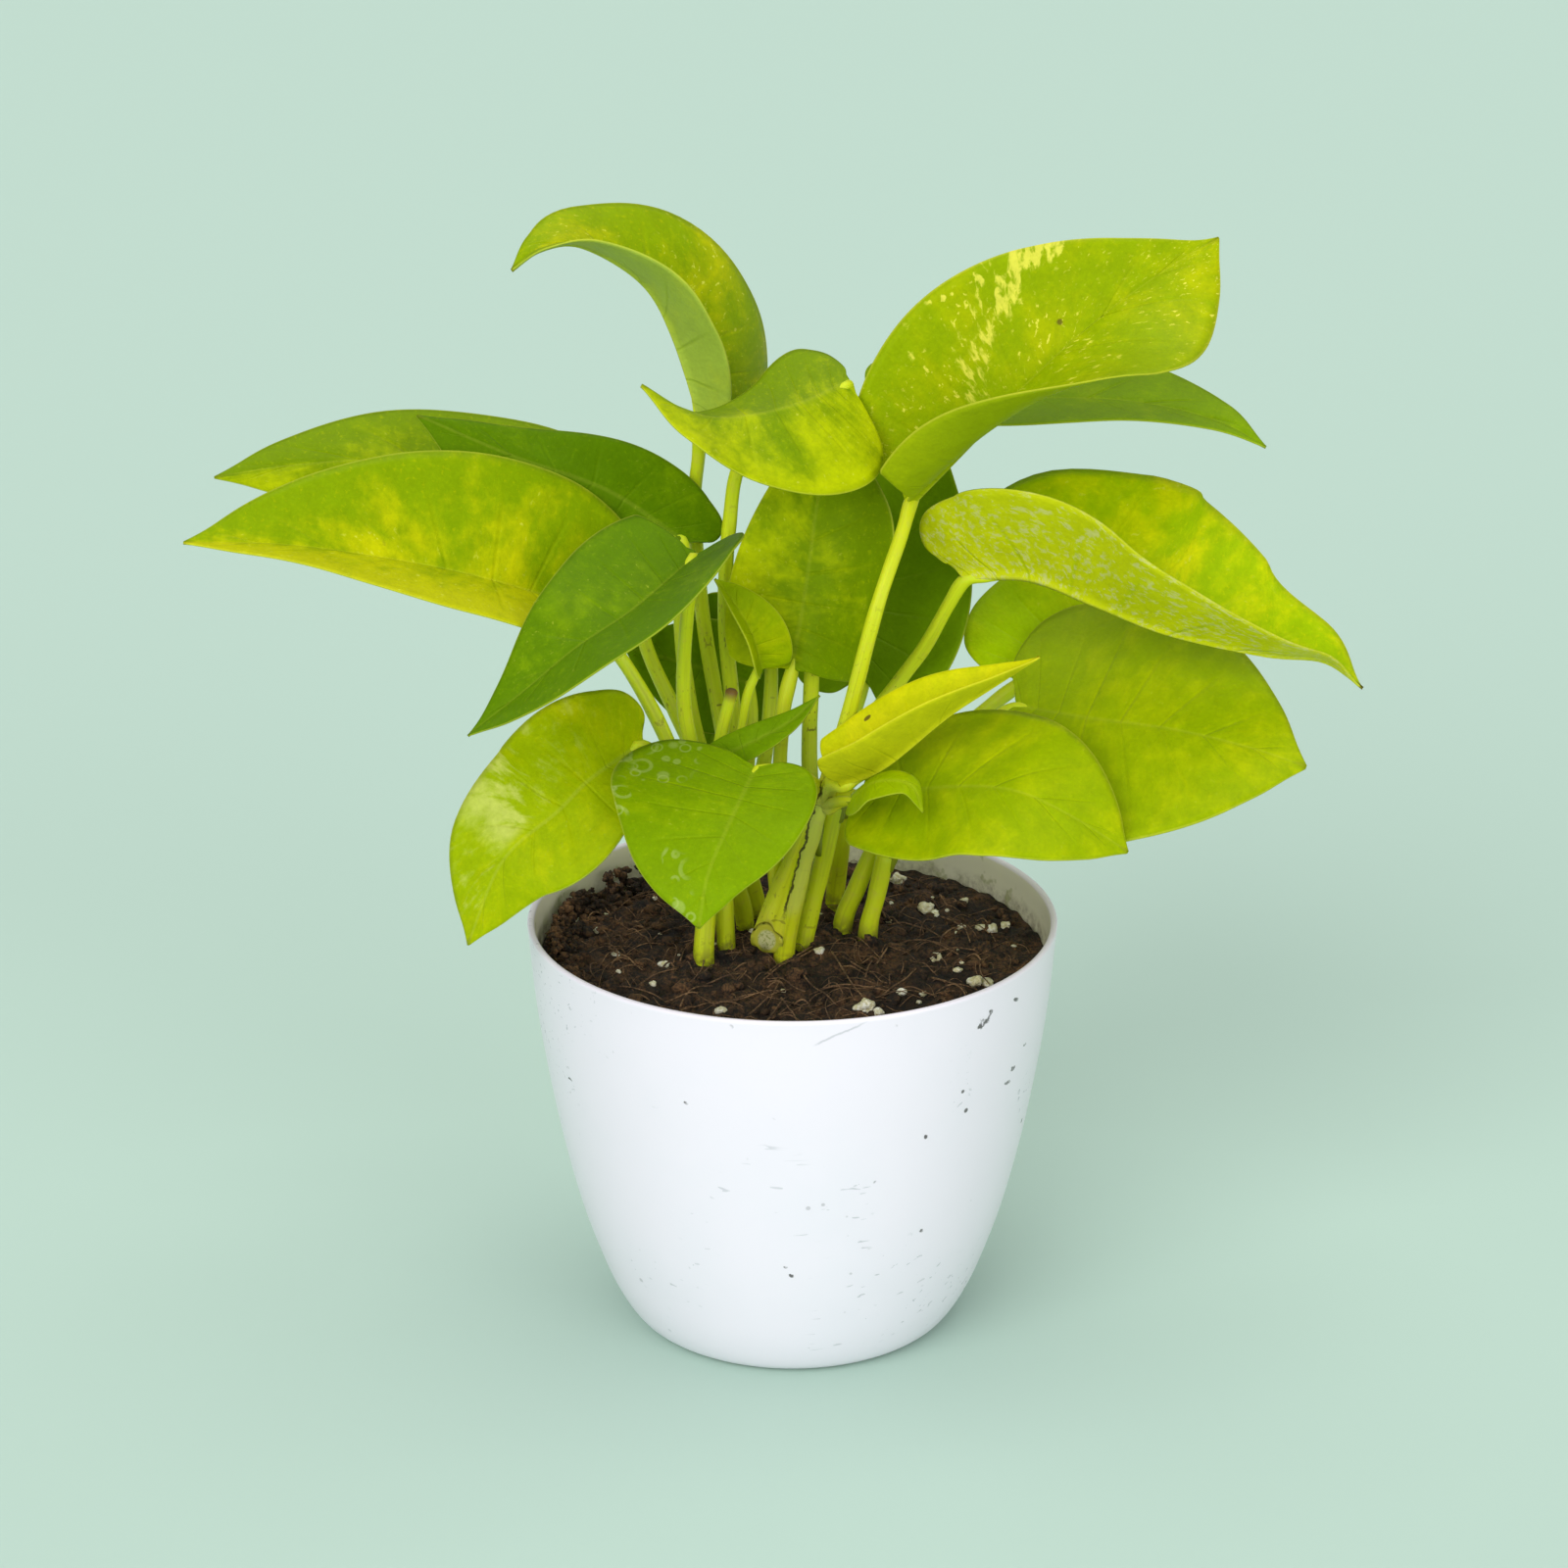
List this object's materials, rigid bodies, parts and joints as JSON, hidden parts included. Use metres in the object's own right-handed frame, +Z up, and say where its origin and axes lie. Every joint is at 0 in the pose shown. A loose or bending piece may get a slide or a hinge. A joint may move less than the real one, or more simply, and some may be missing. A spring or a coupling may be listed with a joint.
{
  "type": "potted pothos plant",
  "caption": "Golden pothos houseplant: heart-shaped variegated leaves on long stalks rise from potting mix in a tapered round plastic pot that stands on a table or shelf.",
  "frame": {"origin": "centre of the pot's flat underside", "axes": "+Z up through the middle of the pot, -Y towards the front seen in the picture, +X to the right seen from the front"},
  "size_m": [0.2571, 0.1198, 0.2535],
  "materials": {
    "pot_white": "smooth semi-gloss white",
    "potting_mix": "rough fibrous brown mix with pale perlite",
    "stem_green": "smooth yellow-green with fine brown flecks",
    "leaf_green": "satin mid green with yellow flecks",
    "leaf_lime": "satin lime green with yellow variegation",
    "leaf_yellow": "satin yellow"
  },
  "bodies": {
    "root": {"leaf_tall_left": "leaf_green", "leaf_top_middle": "leaf_green", "leaf_top_right": "leaf_lime", "leaf_back_right": "leaf_green", "leaf_middle_upright": "leaf_green", "leaf_middle_back": "leaf_green", "leaf_small_hooded": "leaf_green", "leaf_inner_left": "leaf_green", "leaf_inner_hanging": "leaf_green", "leaf_left_front": "leaf_green", "leaf_left_upper": "leaf_green", "leaf_left_back": "leaf_green", "leaf_left_large": "leaf_lime", "leaf_low_left": "leaf_lime", "leaf_low_middle": "leaf_green", "leaf_narrow": "leaf_green", "leaf_young_furled": "leaf_yellow", "leaf_small_curled": "leaf_green", "leaf_low_right": "leaf_lime", "leaf_right_large": "leaf_lime", "leaf_right_folded": "leaf_green", "leaf_right_back": "leaf_green", "stem_left_front": "stem_green", "stem_left_middle": "stem_green", "stem_left_back": "stem_green", "stem_middle_back": "stem_green", "old_cane": "stem_green", "stem_middle": "stem_green", "stem_back": "stem_green", "stem_right_back": "stem_green", "stem_right_front": "stem_green", "soil": "potting_mix", "pot": "pot_white"}
  },
  "joints": []
}
